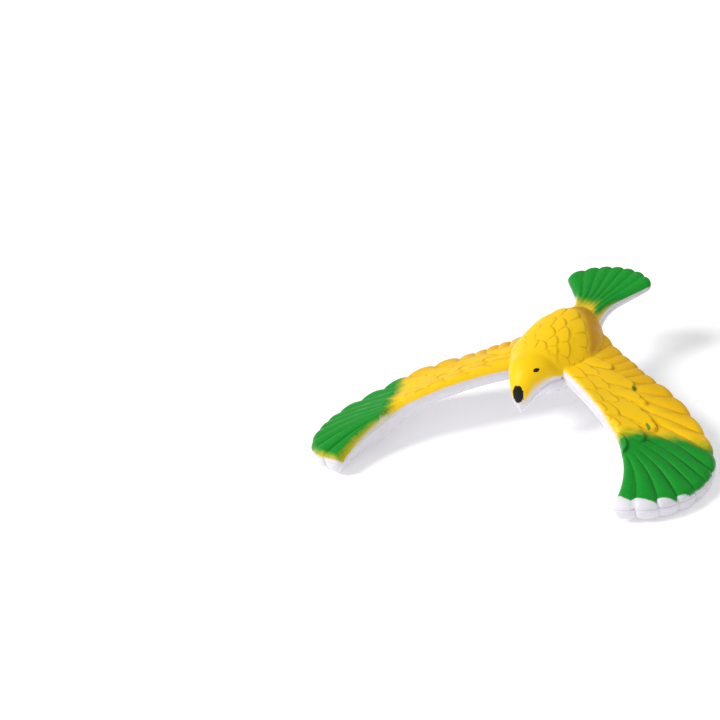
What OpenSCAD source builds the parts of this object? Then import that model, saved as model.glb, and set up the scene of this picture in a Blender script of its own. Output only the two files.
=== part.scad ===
// Balancing bird: two moulded shells glued round their rim, with a steel slug in each wing tip.
// The beak points down and carries the whole bird when it balances. Here the bird rests on a
// table, on the undersides of its wing tips. +Z is up, the head faces -Y, its left wing is +X.

/* [Overall size] */
// Wing tip to wing tip
wing_span = 180; // [150:1:216]
// Front of the wing tips to the end of the tail
bird_length = 142; // [119:1:170]

/* [Shells] */
// Wall thickness of both shells
wall = 1.2; // [0.9:0.1:1.5]
// Rise of the painted upper shell above the parting line, at the leading edge
upper_rise = 3.4; // [2.8:0.1:4.2]
// Depth of the white lower shell below the parting line, at the leading edge
lower_depth = 8.6; // [7.2:0.1:10.4]
// Height of a feather's rounded rib, as a share of its width
flute = 0.12; // [0.05:0.01:0.16]

/* [Balance weights] */
// Length of the steel slug in each wing tip
weight_length = 24; // [20:0.5:26]
// Width of the slug
weight_width = 11; // [9:0.5:12]
// Thickness of the slug
weight_thick = 4.1; // [3.5:0.1:4.6]
// Gap between the slug and the posts round it
weight_gap = 0.3; // [0.2:0.05:0.5]
// Diameter of those posts, and of the two that carry the slug
post_d = 2; // [1.6:0.1:2.4]

/* [Locating pegs] */
// Diameter of the pegs under the upper shell
peg_d = 2.4; // [2:0.1:3]
// Gap all round a peg in its socket
peg_gap = 0.15; // [0.1:0.05:0.3]
// How far a peg reaches into its socket
peg_reach = 2.2; // [2:0.1:3.2]
// Wall of a socket
socket_wall = 1.1; // [0.9:0.1:1.4]

/* [Hidden] */

span_k = wing_span / 180;
length_k = bird_length / 142;
yellow = [0.96, 0.77, 0.02];
white = [0.92, 0.91, 0.94];
steel = [0.55, 0.56, 0.58];

// Mesh density: rows from front to back, columns per feather and across the body
wing_rows = 12;
feather_columns = 2;
body_columns = 14;
head_rows = 6;
tail_rows = 8;
beak_rings = 4;

// Feathers of one wing, counted from the leading edge of the tip (0) to the tail root (17).
// Each point is where two feather ends meet, on the parting line.
feathers = 17;
feather_ends = [
    [62.8, -67, 6.8], [72, -66.5, 7.3], [80, -62.5, 6.8], [85, -56, 6], [88, -47.5, 5.4],
    [89, -40.5, 5.2], [88, -33, 5.4], [83.5, -22.5, 6.4], [76.5, -14, 8.8], [67.5, -7, 12.6],
    [57, 0.5, 15.6], [47, 6.5, 17.4], [40.5, 10, 18.9], [36, 12.5, 20.1], [31.5, 15.5, 21.2],
    [26.5, 17.5, 22.4], [19.5, 22, 23.4], [12, 28, 24.6]];
// The leading edge from the wrist to the neck, where the feathers start, as [feather, point]
leading_edge = [
    [0, [55, -42, 14.2]], [3, [53.3, -39.5, 15.6]], [6, [50, -36, 17.8]], [9, [43.5, -31.5, 20.4]],
    [12, [34, -24.5, 23]], [14.5, [23.5, -16.5, 24.6]], [17, [12.5, -8.5, 25.2]]];
// How far each feather bows sideways, as [feather, bow]
feather_bow = [[0, 2.2], [2.4, 3], [4.9, 3.4], [7.3, 3], [9.7, 2.4], [12.1, 1.6], [14.6, 1], [17, 0]];
// Roundness of the feather ends, as [feather, share of the feather's width]
end_round = [[0, 0.3], [1, 0.22], [2, 0.16], [6, 0.16], [8, 0.16], [12, 0.17], [17, 0.15]];
// How far the feathers sweep back from the arm towards their ends, as [feather, feathers' widths]
feather_sweep = [[0, 0], [3, 0.6], [5, 1.8], [7, 4.4], [9, 6], [11, 6.4], [13, 5], [15, 2.6], [17, 0]];
// Where the ribbed part of each feather starts, as [feather, share of its length]
flute_start = [[0, 0.12], [3, 0.22], [7, 0.36], [8, 0.42], [17, 0.42]];
// Depth of the lower shell along the wing, as [feather, share of lower_depth]
depth_share = [[0, 0.98], [5.5, 0.98], [8, 0.7], [11, 0.6], [17, 0.62]];
rim_radius_top = 3.2;
rim_radius_bottom = 3.6;
trailing_radius = 2.6;

// Body: back ridge height, half width and belly depth against y
neck_y = -8.5;
rump_y = 34.5;
body_y = [-8.5, -1, 7, 17, 27, 34.5];
back_height = [36.2, 37.6, 38.8, 39.4, 38.2, 35.2];
body_half = [12.5, 16.5, 18.5, 17.5, 13.5, 9];
belly_depth = [9.5, 11.5, 12, 11, 7.5, 4.5];
body_round = 1.24;

// Head: sections from the neck to the end of the beak's painted part, as [y, z] points
head_part = [[-8.5, 25.2], [-12.4, 25.7], [-16.3, 24.9], [-19.3, 23.2], [-21.5, 21.1], [-22.9, 19.4]];
head_crown = [[-8.5, 36.2], [-14.7, 35.2], [-19.9, 32.7], [-23.3, 28.9], [-25.2, 24.9], [-25.7, 21]];
head_throat = [[-8.5, 15.7], [-10.6, 17.3], [-13.2, 18.4], [-15.8, 18.8], [-18.2, 18.5], [-20.2, 17.8]];
head_half = [12.5, 10.4, 7.9, 5.8, 4.1, 2.9];
beak_tip = [0, -24, 15];

// Tail: half width, y and z of the parting line from the rump to the corners of the fan
tail_half = [8.6, 7.6, 7.5, 9.6, 13.4, 17.2, 19.9];
tail_y = [29.5, 35.2, 40.8, 46.3, 51.5, 56.2, 60.2];
tail_z = [25.2, 27.2, 28.9, 30.6, 31.9, 33, 33.9];
tail_rise = [[0, 7.5], [0.12, 6.5], [0.3, 4.2], [0.6, 2.4], [1, 2]];
tail_drop = [[0, 5], [0.2, 4.6], [0.45, 3], [1, 2.3]];
tail_feathers = 7;
fan_bulge = 9.3;
fan_corner = 1.5;

// Places on the wing, as [feather, share of its length]
weight_place = [3, 0.59];
peg_places = [[9.5, 0.42], [14, 0.42]];
body_peg_y = 12;
// The slug takes this share of the wing tip's slope, because the floor under it is flatter
weight_follow = 0.8;
// How far the slug's top lies under the parting line, and the posts' tops
weight_low = 0.2;
post_clear = 0.4;

// ---------- curves ----------
function limit(x, low, high) = min(high, max(low, x));
// Smooth curve through a list of values or points, t from 0 to the last index
function spline(p, t) =
    let (n = len(p) - 1, u = limit(t, 0, n), i = min(floor(u), n - 1), f = u - i,
         a = i > 0 ? p[i - 1] : 2 * p[0] - p[1],
         d = i + 2 <= n ? p[i + 2] : 2 * p[n] - p[n - 1], b = p[i], c = p[i + 1])
    (2 * b + (c - a) * f + (2 * a - 5 * b + 4 * c - d) * f ^ 2 + (3 * b - a - 3 * c + d) * f ^ 3) / 2;
// Where x lies in a rising list, as a spline position
function place_in(list, x, i = 0) =
    i >= len(list) - 1 ? len(list) - 1 :
    x < list[i + 1] ? i + limit((x - list[i]) / (list[i + 1] - list[i]), 0, 1) : place_in(list, x, i + 1);
// Profile of a rounded edge: 0 on the edge, 1 from r inwards
function rounded(d, r) = sqrt(max(0, 1 - (1 - limit(d / r, 0, 1)) ^ 2));
function smooth_max(a, b, k) = (a + b + sqrt((a - b) ^ 2 + k * k)) / 2;
function scaled(p) = [p.x * span_k, p.y * length_k, p.z];

// ---------- wing ----------
function feather_at(s) = limit(floor(s), 0, feathers - 1);
function end_width(s) =
    let (i = feather_at(s), d = scaled(feather_ends[i + 1]) - scaled(feather_ends[i])) norm([d.x, d.y]);
function wing_root(s) =
    let (keys = [for (e = leading_edge) e[0]], points = [for (e = leading_edge) e[1]])
    scaled(spline(points, place_in(keys, s)));
// End of the feather line s; scallop is 1 on the outside and 0 for the cavity
function wing_end(s, scallop) =
    let (i = feather_at(s), f = s - i, a = scaled(feather_ends[i]), b = scaled(feather_ends[i + 1]),
         d = b - a, out = scallop * lookup(s, end_round) * sqrt(max(0, 1 - (2 * f - 1) ^ 2)))
    a + d * f + [d.y * out, -d.x * out, 0];
function wing_length(s, scallop) =
    let (d = wing_end(s, scallop) - wing_root(s)) norm([d.x, d.y]);
// Point of the parting surface on feather line s, at share v of its length
function wing_part(s, v, scallop) =
    let (a = wing_root(s), d = wing_end(s, scallop) - a, n = norm([d.x, d.y]),
         bow = lookup(s, feather_bow) * 4 * v * (1 - v))
    a + d * v + [-d.y * bow / n, d.x * bow / n, 0];
function edge_gap(s) = end_width(0) * s;
// Feather line on which feather u lies at share v of the length
function swept(u, v) = u + lookup(u, feather_sweep) * (1 - max(v, 0.2)) ^ 2;
// Share of full thickness, which falls to 0 at the rim. Across the body, where c goes from -1 to 1,
// the tail joins on and there is no rim behind.
function rim(s, v, radius, inset, c) =
    let (n = wing_length(s, 1), rim_behind = 1 - sqrt(max(0, 1 - c ^ 2)))
    rounded(v * n - inset, radius) * (1 - rim_behind * (1 - rounded((1 - v) * n - inset, trailing_radius)))
    * rounded(edge_gap(s) * (0.25 + 0.75 * v) - inset, radius);
function rib_height(u, v) =
    let (f = u - feather_at(u), start = lookup(u, flute_start))
    (sqrt(max(0, 1 - (2 * f - 1) ^ 2)) - 0.75) * flute * end_width(u)
    * limit((v - start) / 0.08, 0, 1) * min(1, 1.5 * v);
function body_pos(y) = place_in([for (b = body_y) b * length_k], y);
function body_arch(x, y, inset) =
    let (half = spline(body_half, body_pos(y)) * span_k - inset, q = max(0, 1 - (x / half) ^ 2))
    abs(x) < half ? q ^ (body_round / 2) : 0;
// Height of the upper surface over parting point p
function top_height(p, s, v, inset, c = 1, u = 0) =
    let (r = rim(s, v, rim_radius_top, inset, c), arch = body_arch(p.x, p.y, inset),
         wing = (upper_rise - inset - v) * r + (inset > 0 ? 0 : rib_height(u, v) * r),
         back = (spline(back_height, body_pos(p.y)) - inset - p.z) * arch)
    smooth_max(wing, back, 3 * r) - 0.75 * r * exp(-((wing - back) / 4) ^ 2);
// Depth of the lower surface under parting point p
function bottom_depth(p, s, v, inset, c = 1) =
    let (r = rim(s, v, rim_radius_bottom, inset, c), arch = body_arch(p.x, p.y, inset),
         wing = (lower_depth * lookup(s, depth_share) * (1 - 0.33 * v) - inset) * r,
         belly = (spline(belly_depth, body_pos(p.y)) - inset) * arch)
    smooth_max(wing, belly, 2.5 * r) - 0.6 * r;
// ---------- sheets ----------
wing_columns = feathers * feather_columns;
last_column = 2 * wing_columns + body_columns;
function row_v(i) = 0.5 - 0.5 * cos(180 * i / wing_rows);
function body_c(j) = -1 + 2 * j / body_columns;
// The cavity keeps one wall's distance from the rim
function inner_v(s, v) = let (n = wing_length(s, 0), e = wall / n) e + v * (1 - 2 * e);
function inner_s(s) = let (e = wall / end_width(0)) e + s * (feathers - e) / feathers;

function slab_point(i, j, up, inner) =
    let (left = j < wing_columns, right = j > wing_columns + body_columns,
         u = (left ? j : right ? last_column - j : wing_columns) / feather_columns, s0 = swept(u, row_v(i)),
         s = inner ? inner_s(s0) : s0, v = inner ? inner_v(s, row_v(i)) : row_v(i),
         p = wing_part(s, v, inner ? 0 : 1),
         c = left ? -1 : right ? 1 : body_c(j - wing_columns),
         tail_side = (rump_y * length_k - wing_part(feathers, 1, 1).y) * v ^ 2 * sqrt(max(0, 1 - c ^ 2)),
         on_rim = j == 0 || j == last_column || (abs(c) == 1 && (i == 0 || i == wing_rows)),
         q = [p.x, p.y + tail_side, p.z])
    let (w = inner && on_rim ? q : wing_point(s, v, up, q, c, inner ? wall : 0, u))
    [w.x * c, w.y, w.z];
function wing_point(s, v, up, p, c, inset, u) =
    let (q = [p.x * c, p.y, p.z], h = up ? top_height(q, s, v, inset, c, u) : bottom_depth(q, s, v, inset, c))
    [p.x, p.y, p.z + (up ? h : -h)];

// Half ellipse from the parting line over the crown, or under the throat
function arch_point(half, base, end, c, inset) =
    let (d = end - base, k = (norm(d) - inset) / norm(d) * sqrt(max(0, 1 - c ^ 2)) ^ 0.9)
    [(half - inset) * c, base[0] + d[0] * k, base[1] + d[1] * k];
function head_point(k, j, up, inset) =
    let (t = (len(head_half) - 1) * k / head_rows,
         p = arch_point(spline(head_half, t), spline(head_part, t), spline(up ? head_crown : head_throat, t),
                        body_c(j), inset))
    [p.x * span_k, p.y * length_k, p.z];

// The upper shell's tail starts under the rump's lip; the lower shell's follows the belly
function tail_point(k, j, up, inset) =
    let (t0 = k / tail_rows, t = inset > 0 ? t0 * (1 - inset / 30) : t0, n = len(tail_half) - 1,
         c = body_c(j), half = spline(tail_half, t * n) * span_k,
         f = (c + 1) / 2 * tail_feathers, g = f - limit(floor(f), 0, tail_feathers - 1),
         scallop = inset > 0 ? 0 : 1.3 * sqrt(max(0, 1 - (2 * g - 1) ^ 2)) * t ^ 3,
         bulge = t ^ 2 * (fan_bulge * max(0, 1 - c ^ 2) ^ 0.8 - fan_corner * abs(c) ^ 7),
         x = (half - inset) * c * (1 + 0.6 * scallop / half),
         tucked = up ? 0 : (rump_y - tail_y[0]) * sqrt(max(0, 1 - c ^ 2)) * max(0, 1 - t / 0.4),
         y = (spline(tail_y, t * n) + bulge + scallop + tucked) * length_k,
         z = spline(tail_z, t * n) + 0.14 * bulge,
         full = rounded((1 - abs(c)) * half, 2) * rounded((1 - t0) * 30, 2.2),
         h = lookup(t, up ? tail_rise : tail_drop) - inset)
    [x, y, z + (up ? h : -h) * full];

function sheet(up, inner) = let (inset = inner ? wall : 0) concat(
    [for (i = [0:wing_rows], j = [0:last_column]) slab_point(i, j, up, inner)],
    [for (k = [1:head_rows], j = [0:body_columns]) head_point(k, j, up, inset)],
    [for (k = [0:tail_rows], j = [0:body_columns]) tail_point(k, j, up, inset)]);

// ---------- faces ----------
row_size = last_column + 1;
slab_size = (wing_rows + 1) * row_size;
body_row = body_columns + 1;
sheet_size = slab_size + head_rows * body_row + (tail_rows + 1) * body_row;
function slab_id(i, j) = i * row_size + j;
function head_id(k, j) = k == 0 ? slab_id(0, wing_columns + j) : slab_size + (k - 1) * body_row + j;
function tail_id(k, j) =
    k < 0 ? slab_id(wing_rows, wing_columns + j) : slab_size + head_rows * body_row + k * body_row + j;
function quad(a, b, c, d) = [[a, b, c], [a, c, d]];
function flipped(faces) = [for (f = faces) [f[2], f[1], f[0]]];
function moved(faces, n) = [for (f = faces) [f[0] + n, f[1] + n, f[2] + n]];

sheet_faces = concat(
    [for (i = [0:wing_rows - 1], j = [0:last_column - 1])
        each quad(slab_id(i, j), slab_id(i + 1, j), slab_id(i + 1, j + 1), slab_id(i, j + 1))],
    [for (k = [0:head_rows - 1], j = [0:body_columns - 1])
        each quad(head_id(k, j), head_id(k, j + 1), head_id(k + 1, j + 1), head_id(k + 1, j))],
    [for (k = [-1:tail_rows - 1], j = [0:body_columns - 1])
        each quad(tail_id(k, j), tail_id(k + 1, j), tail_id(k + 1, j + 1), tail_id(k, j + 1))]);
// The rim, from the left end of the head round the bird to the head's right end
rim_loop = concat(
    [for (k = [head_rows:-1:1]) head_id(k, 0)],
    [for (j = [wing_columns:-1:0]) slab_id(0, j)],
    [for (i = [1:wing_rows]) slab_id(i, 0)],
    [for (j = [1:wing_columns]) slab_id(wing_rows, j)],
    [for (k = [0:tail_rows]) tail_id(k, 0)],
    [for (j = [1:body_columns]) tail_id(tail_rows, j)],
    [for (k = [tail_rows - 1:-1:0]) tail_id(k, body_columns)],
    [for (j = [last_column - wing_columns:last_column]) slab_id(wing_rows, j)],
    [for (i = [wing_rows - 1:-1:0]) slab_id(i, last_column)],
    [for (j = [last_column - 1:-1:last_column - wing_columns]) slab_id(0, j)],
    [for (k = [1:head_rows]) head_id(k, body_columns)]);
head_end = [for (j = [body_columns:-1:0]) head_id(head_rows, j)];
function strip(loop, n) =
    [for (i = [0:len(loop) - 2]) each quad(loop[i], loop[i + 1], loop[i + 1] + n, loop[i] + n)];

module upper_skin() {
    faces = concat(sheet_faces, flipped(moved(sheet_faces, sheet_size)),
                   flipped(strip(rim_loop, sheet_size)), flipped(strip(head_end, sheet_size)));
    polyhedron(points = concat(sheet(true, false), sheet(true, true)), faces = faces, convexity = 12);
}

// The lower shell ends in the solid beak: a ring of points that shrinks to the beak's tip
ring_size = 2 * body_columns;
function ring_point(t, j) =
    let (front = j <= body_columns, c = body_c(front ? j : ring_size - j),
         p = arch_point(head_half[5], head_part[5], front ? head_crown[5] : head_throat[5], c, 0),
         k = 1 - t ^ 1.5)
    scaled(beak_tip + (p - beak_tip) * k);
function ring_id(r, j) =
    let (m = j % ring_size)
    r == 0 && m == 0 ? head_id(head_rows, 0) :
    r == 0 && m >= body_columns ? head_id(head_rows, ring_size - m) :
    2 * sheet_size + (r == 0 ? m - 1 : body_columns - 1 + (r - 1) * ring_size + m);

module lower_skin() {
    half = body_columns / 2;
    tip = 2 * sheet_size + body_columns - 1 + (beak_rings - 1) * ring_size;
    in_left = head_id(head_rows, 0) + sheet_size;
    in_right = head_id(head_rows, body_columns) + sheet_size;
    points = concat(sheet(false, false), sheet(false, true),
        [for (j = [1:body_columns - 1]) ring_point(0, j)],
        [for (r = [1:beak_rings - 1], j = [0:ring_size - 1]) ring_point(r / beak_rings, j)],
        [scaled(beak_tip)]);
    beak = concat(
        [for (r = [0:beak_rings - 2], j = [0:ring_size - 1])
            each quad(ring_id(r, j), ring_id(r, j + 1), ring_id(r + 1, j + 1), ring_id(r + 1, j))],
        [for (j = [0:ring_size - 1]) [ring_id(beak_rings - 1, j), ring_id(beak_rings - 1, j + 1), tip]],
        [for (j = [0:half - 1]) [in_left, ring_id(0, j + 1), ring_id(0, j)]],
        [[in_left, in_right, ring_id(0, half)]],
        [for (j = [half:body_columns - 1]) [in_right, ring_id(0, j + 1), ring_id(0, j)]],
        [for (j = [1:body_columns - 1])
            [in_left, head_id(head_rows, j) + sheet_size, head_id(head_rows, j + 1) + sheet_size]]);
    faces = concat(sheet_faces, flipped(moved(sheet_faces, sheet_size)),
                   flipped(strip(rim_loop, sheet_size)), flipped(beak));
    polyhedron(points = points, faces = flipped(faces), convexity = 12);
}

// ---------- fittings between the shells ----------
function roof_z(s, v) = let (p = wing_part(s, v, 0)) p.z + top_height(p, s, v, wall);
function floor_z(s, v) = let (p = wing_part(s, v, 0)) p.z - bottom_depth(p, s, v, wall);
body_part_z = wing_part(feathers, 0.5, 1).z;
body_roof_z = spline(back_height, body_pos(body_peg_y)) - wall;
body_floor_z = body_part_z - spline(belly_depth, body_pos(body_peg_y)) + wall;
// Each peg as [x, y, parting height, roof of the cavity, floor of the cavity]
pegs = concat(
    [for (side = [-1, 1], at = peg_places)
        let (p = wing_part(at[0], at[1], 0))
        [side * p.x, p.y, p.z, roof_z(at[0], at[1]), floor_z(at[0], at[1])]],
    [[0, body_peg_y, body_part_z, body_roof_z, body_floor_z]]);
root_in_wall = wall / 2;

module peg(p) {
    height = p[3] + root_in_wall - p[2] + peg_reach;
    translate([p[0], p[1], p[2] - peg_reach]) cylinder(h = height, d = peg_d, $fn = 24);
}

module socket(p) {
    bore = peg_d + 2 * peg_gap;
    bottom = p[4] - root_in_wall;
    translate([p[0], p[1], bottom]) difference() {
        cylinder(h = p[2] - bottom, d = bore + 2 * socket_wall, $fn = 24);
        translate([0, 0, p[2] - bottom - peg_reach - peg_gap])
            cylinder(h = peg_reach + wall, d = bore, $fn = 24);
    }
}

// The slug lies along its feathers, tilted with the wing tip
straight = weight_length - weight_width;
weight_line = [weight_place[0], weight_place[1] - 0.2, weight_place[1] + 0.2];
weight_from = wing_part(weight_line[0], weight_line[1], 0);
weight_to = wing_part(weight_line[0], weight_line[2], 0);
weight_dir = weight_to - weight_from;
weight_turn = atan2(weight_dir.y, weight_dir.x);
weight_tilt = weight_follow * atan2(-weight_dir.z, norm([weight_dir.x, weight_dir.y]));
weight_center = (weight_from + weight_to) / 2 - [0, 0, weight_thick / 2 + weight_low];

module at_weight() {
    translate(weight_center) rotate([0, weight_tilt, weight_turn]) children();
}

module slug() {
    translate([0, 0, -weight_thick / 2]) linear_extrude(weight_thick) union() {
        square([straight, weight_width], center = true);
        for (end = [-1, 1]) translate([end * straight / 2, 0]) circle(d = weight_width, $fn = 48);
    }
}

// Posts on the lower shell's floor: two carry the slug, four stand round its ends. Each is given
// as [along the slug, across the slug, 1 if it carries the slug].
post_ring = (weight_width + post_d) / 2 + weight_gap;
post_end = (straight + weight_thick * abs(sin(weight_tilt))) / 2 + 0.6 * post_ring;
posts = concat([for (k = [-1, 1]) [k * straight / 2, 0, 1]],
               [for (k = [-1, 1], m = [-1, 1]) [k * post_end, m * 0.8 * post_ring, 0]]);

// The place on the wing, as [feather, share of its length], over point p, by Newton's method
function place_over(p, at, steps = 5) =
    steps == 0 ? at :
    let (q = wing_part(at[0], at[1], 0), ds = 0.1, dv = 0.01, e = p - q,
         a = wing_part(at[0] + ds, at[1], 0) - q, b = wing_part(at[0], at[1] + dv, 0) - q,
         area = a.x * b.y - a.y * b.x)
    place_over(p, at + [ds * (e.x * b.y - e.y * b.x), dv * (a.x * e.y - a.y * e.x)] / area, steps - 1);

module post(q) {
    along = q[0] * cos(weight_tilt);
    p = weight_center + [along * cos(weight_turn) - q[1] * sin(weight_turn),
                         along * sin(weight_turn) + q[1] * cos(weight_turn), -q[0] * sin(weight_tilt)];
    at = place_over(p, weight_place);
    under_slug = p.z - weight_thick / 2 / cos(weight_tilt) - post_d / 2 * tan(weight_tilt);
    top = q[2] == 1 ? under_slug : wing_part(at[0], at[1], 0).z - post_clear;
    bottom = floor_z(at[0], at[1]) - root_in_wall;
    translate([p.x, p.y, bottom]) cylinder(h = top - bottom, d = post_d, $fn = 16);
}

// Lowest point on z = 0, front and back the same distance from y = 0
outline = sheet(false, false);
outline_y = [for (p = outline) p.y];
to_table = [0, -(max(outline_y) + min(outline_y)) / 2, -min([for (p = outline) p.z])];

module upper_shell() {
    color(yellow) translate(to_table) union() {
        upper_skin();
        for (p = pegs) peg(p);
    }
}

module lower_shell() {
    color(white) translate(to_table) union() {
        lower_skin();
        for (p = pegs) socket(p);
        for (side = [0, 1], q = posts) mirror([side, 0, 0]) post(q);
    }
}

module left_wing_weight() {
    color(steel) translate(to_table) at_weight() slug();
}

module right_wing_weight() {
    mirror([1, 0, 0]) left_wing_weight();
}

upper_shell();
lower_shell();
left_wing_weight();
right_wing_weight();
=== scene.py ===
"""Balancing bird in moulded plastic: a spray-painted upper shell on a bare white lower shell.

Lengths are in millimetres in the shapes' own frame and become metres when a mesh is made.
The head faces -Y, the tail +Y, the bird's left wing is on +X and +Z is up.
"""

import logging
import math
from dataclasses import dataclass, field
from enum import Enum

import bmesh
import bpy
import numpy as np
from mathutils import Matrix, Vector


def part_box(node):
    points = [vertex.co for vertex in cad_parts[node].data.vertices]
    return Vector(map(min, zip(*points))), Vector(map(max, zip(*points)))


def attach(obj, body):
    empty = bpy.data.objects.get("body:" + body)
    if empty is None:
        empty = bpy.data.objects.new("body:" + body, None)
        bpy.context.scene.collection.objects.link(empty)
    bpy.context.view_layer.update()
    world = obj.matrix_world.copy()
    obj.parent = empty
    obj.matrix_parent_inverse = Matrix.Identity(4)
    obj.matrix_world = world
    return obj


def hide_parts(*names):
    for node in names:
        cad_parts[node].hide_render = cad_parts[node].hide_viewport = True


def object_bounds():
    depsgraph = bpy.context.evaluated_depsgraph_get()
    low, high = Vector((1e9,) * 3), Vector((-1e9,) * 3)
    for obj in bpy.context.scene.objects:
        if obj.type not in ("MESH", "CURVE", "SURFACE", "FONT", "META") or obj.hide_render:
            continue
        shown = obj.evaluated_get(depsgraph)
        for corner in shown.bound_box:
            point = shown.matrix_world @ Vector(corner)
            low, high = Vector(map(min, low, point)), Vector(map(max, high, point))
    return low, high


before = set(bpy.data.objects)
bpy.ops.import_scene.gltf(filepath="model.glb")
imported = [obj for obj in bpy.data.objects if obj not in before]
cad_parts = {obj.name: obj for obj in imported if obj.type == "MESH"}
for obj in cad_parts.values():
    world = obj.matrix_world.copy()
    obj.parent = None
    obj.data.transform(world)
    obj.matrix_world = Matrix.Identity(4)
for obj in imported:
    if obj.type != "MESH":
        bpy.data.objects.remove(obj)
CAD_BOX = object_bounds()

Array = np.ndarray
LOG = logging.getLogger("balancing_bird")
MM = 0.001
FAR_OUTSIDE = -60.0


class Skin(Enum):
    """Which of the two shells a surface belongs to."""

    UPPER = 1
    LOWER = -1


# ---------------------------------------------------------------- curves


def spline(points: list, t: Array) -> Array:
    """Smooth curve through a list of values or points.

    Args:
        points: The values or points the curve passes through.
        t: Places along it, from 0 to the last index.

    Returns:
        The curve's values at t.
    """
    p = np.asarray(points, float)
    t = np.clip(np.asarray(t, float), 0, len(p) - 1)
    i = np.minimum(t.astype(int), len(p) - 2)
    f = t - i
    if p.ndim > 1:
        f = f[..., None]
    ends = np.concatenate([[2 * p[0] - p[1]], p, [2 * p[-1] - p[-2]]])
    a, b, c, d = ends[i], ends[i + 1], ends[i + 2], ends[i + 3]
    return (2 * b + (c - a) * f + (2 * a - 5 * b + 4 * c - d) * f**2 + (3 * b - a - 3 * c + d) * f**3) / 2


def keyed(pairs: list, x: Array) -> Array:
    """Straight-line lookup in a list of (key, value) pairs."""
    keys, values = zip(*pairs)
    return np.interp(x, keys, values)


def rounded(distance: Array, radius: float) -> Array:
    """Profile of a rounded edge: 0 on the edge, 1 from one radius inwards."""
    return np.sqrt(np.maximum(0, 1 - (1 - np.clip(distance / radius, 0, 1)) ** 2))


def ease(low: float, high: float, x: Array) -> Array:
    """Smooth step from 0 at low to 1 at high."""
    t = np.clip((x - low) / (high - low), 0, 1)
    return t * t * (3 - 2 * t)


def bow(f: Array) -> Array:
    """Half circle across one feather: 0 at its sides, 1 along its middle."""
    return np.sqrt(np.maximum(0, 1 - (2 * f - 1) ** 2))


def groove_beside(f: Array) -> Array:
    """Narrow valley along both sides of a feather: 1 in it, 0 away from it."""
    return 1 - ease(0, 0.62, bow(f))


def foot(distance: Array) -> Array:
    """Narrow line at the foot of a raised edge; distance is positive on the raised side."""
    return np.exp(-(((distance + 0.1) / 0.3) ** 2))


def smooth_max(a: Array, b: Array, k: Array) -> Array:
    """Larger of two heights, blended over a width k."""
    return (a + b + np.sqrt((a - b) ** 2 + k * k)) / 2


def cell(edges: list, x: Array) -> tuple[Array, Array]:
    """Finds which cell of a rising list x falls in.

    Args:
        edges: The cells' rising borders.
        x: Places to look up.

    Returns:
        The cell's number and how far across it x is, from 0 to 1.
    """
    e = np.asarray(edges, float)
    i = np.clip(np.searchsorted(e, x, side="right") - 1, 0, len(e) - 2)
    return i, np.clip((x - e[i]) / (e[i + 1] - e[i]), 0, 1)


# ---------------------------------------------------------------- relief


@dataclass(frozen=True)
class CovertRow:
    """One row of overlapping covert feathers across the wing."""

    edges: tuple
    ends: tuple
    step: float
    dome: float
    roundness: float
    sweep: float = 8.0

    def height(self, s: Array, v: Array, length: Array) -> tuple[Array, Array, Array]:
        """Height of the row over the wing, its grooves and where it covers the row below.

        Args:
            s: Feather line.
            v: Share of the feather line's length.
            length: Length of the feather line in millimetres.

        Returns:
            The height in millimetres, the cover and the grooves, both from 0 to 1.
        """
        i, f = cell(self.edges, s + self.sweep * (v - 0.5))
        end = np.asarray(self.ends)[i] - self.roundness * (1 - bow(f))
        cover = ease(0, 0.3, (end - v) * length)
        along = np.clip(v / np.maximum(end, 0.02), 0, 1)
        rise = self.step * (0.25 + 0.75 * along**1.5)
        groove = np.maximum(groove_beside(f) * ease(0.1, 0.5, along) * cover, foot((end - v) * length))
        return rise + self.dome * (bow(f) - 0.62) * ease(0.0, 0.5, along), cover, groove


@dataclass(frozen=True)
class ScaleRow:
    """One row of rounded scales across the back."""

    angles: tuple
    front_y: float
    droop: float
    step: float
    roundness: float
    dome: float = 0.5
    centre_y: float = -8.0

    def height(self, x: Array, y: Array) -> tuple[Array, Array, Array]:
        """Height of the row over the back, its grooves and where it covers the row behind.

        Args:
            x: Sideways place, in millimetres.
            y: Lengthways place, in millimetres.

        Returns:
            The height in millimetres, the cover and the grooves, both from 0 to 1.
        """
        angle = np.degrees(np.arctan2(np.abs(x), np.maximum(y - self.centre_y, 0.5)))
        _, f = cell(self.angles, angle)
        end = self.front_y - self.droop * x**2 - self.roundness * (1 - bow(f))
        cover = ease(0, 0.35, end - y)
        behind = np.clip(1 - (end - y) / 9, 0, 1)
        groove = np.maximum(groove_beside(f) * cover * ease(0.1, 0.7, behind), foot(end - y))
        return self.step * (0.3 + 0.7 * behind) + self.dome * (bow(f) - 0.6) * behind, cover, groove


# ---------------------------------------------------------------- forms


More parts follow.
